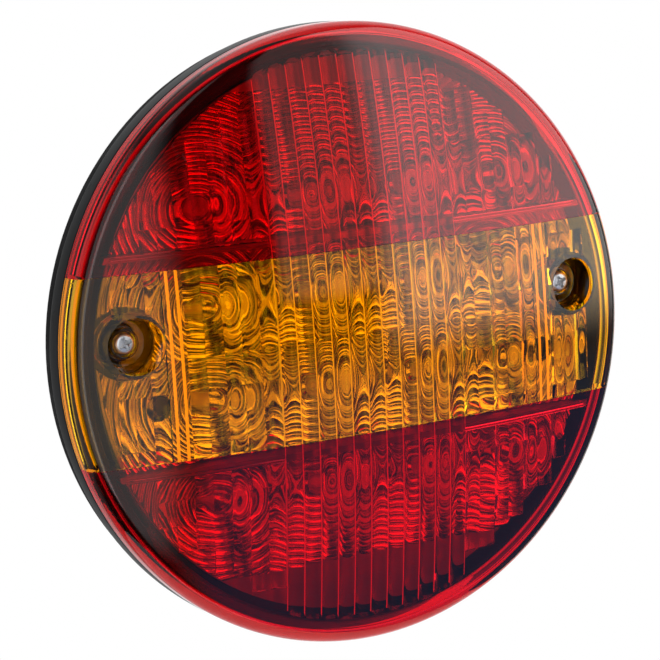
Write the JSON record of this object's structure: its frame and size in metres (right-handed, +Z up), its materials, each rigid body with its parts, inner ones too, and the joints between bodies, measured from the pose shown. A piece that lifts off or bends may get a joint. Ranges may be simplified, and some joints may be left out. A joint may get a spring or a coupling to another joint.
{
  "type": "trailer tail light",
  "caption": "Round rear combination lamp: red, amber and red domed lens over ring reflectors on a black base, held by screws in deep lens pockets.",
  "frame": {"origin": "centre of the flat back face, on the lamp axis", "axes": "-Y out of the lens towards the viewer, +Y out of the back into the panel, +Z up with the lamp as mounted, +X to the right seen from the front"},
  "size_m": [0.14, 0.0234, 0.14],
  "materials": {
    "black_plastic": "satin moulded black",
    "black_rubber": "matte rubber",
    "seal_rubber": "matte rubber",
    "red_lens": "transparent red, polished outside and optics inside",
    "amber_lens": "transparent amber, polished outside and optics inside",
    "metallised": "vacuum metallised plastic",
    "divider_plastic": "vacuum metallised plastic",
    "zinc_steel": "bright zinc plated",
    "brass": "turned",
    "solder_mask": "white coated laminate",
    "led_package": "white moulded with a lens",
    "chip_plastic": "matte moulded",
    "connector_plastic": "natural nylon"
  },
  "bodies": {
    "base": {"base_housing": "black_plastic", "board_screw_1": "zinc_steel", "board_screw_2": "zinc_steel", "board_screw_3": "zinc_steel", "board_screw_4": "zinc_steel", "cable_grommet": "black_rubber", "circuit_board": "solder_mask", "current_regulator": "chip_plastic", "divider_lower": "divider_plastic", "divider_upper": "divider_plastic", "fixing_insert_left": "brass", "fixing_insert_right": "brass", "led_amber_bottom_1": "led_package", "led_amber_bottom_2": "led_package", "led_amber_bottom_3": "led_package", "led_amber_bottom_4": "led_package", "led_amber_top_1": "led_package", "led_amber_top_2": "led_package", "led_amber_top_3": "led_package", "led_amber_top_4": "led_package", "led_lower_1": "led_package", "led_lower_2": "led_package", "led_lower_3": "led_package", "led_lower_4": "led_package", "led_upper_1": "led_package", "led_upper_2": "led_package", "led_upper_3": "led_package", "led_upper_4": "led_package", "lens_insert_left": "brass", "lens_insert_right": "brass", "lens_seal": "seal_rubber", "mounting_gasket": "black_rubber", "pocket_seal_left": "seal_rubber", "pocket_seal_right": "seal_rubber", "protection_diode": "chip_plastic", "reflector_amber": "metallised", "reflector_lower": "metallised", "reflector_upper": "metallised", "resistor_1": "chip_plastic", "resistor_2": "chip_plastic", "wire_connector": "connector_plastic"},
    "lens": {"lens_upper_red": "red_lens", "lens_amber": "amber_lens", "lens_lower_red": "red_lens"},
    "screw_left": {"lens_screw_left": "zinc_steel"},
    "screw_right": {"lens_screw_right": "zinc_steel"}
  },
  "joints": [
    {"name": "lens_lift", "type": "slide", "parent": "base", "child": "lens", "axis": [0, -1, 0], "range_m": [0, 0.03]},
    {"name": "screw_left_turn", "type": "hinge", "parent": "lens", "child": "screw_left", "pos_m": [-0.0556, -0.0117, 0.0053], "axis": [0, 1, 0], "continuous": true},
    {"name": "screw_right_turn", "type": "hinge", "parent": "lens", "child": "screw_right", "pos_m": [0.0556, -0.0117, 0.0053], "axis": [0, 1, 0], "continuous": true}
  ]
}
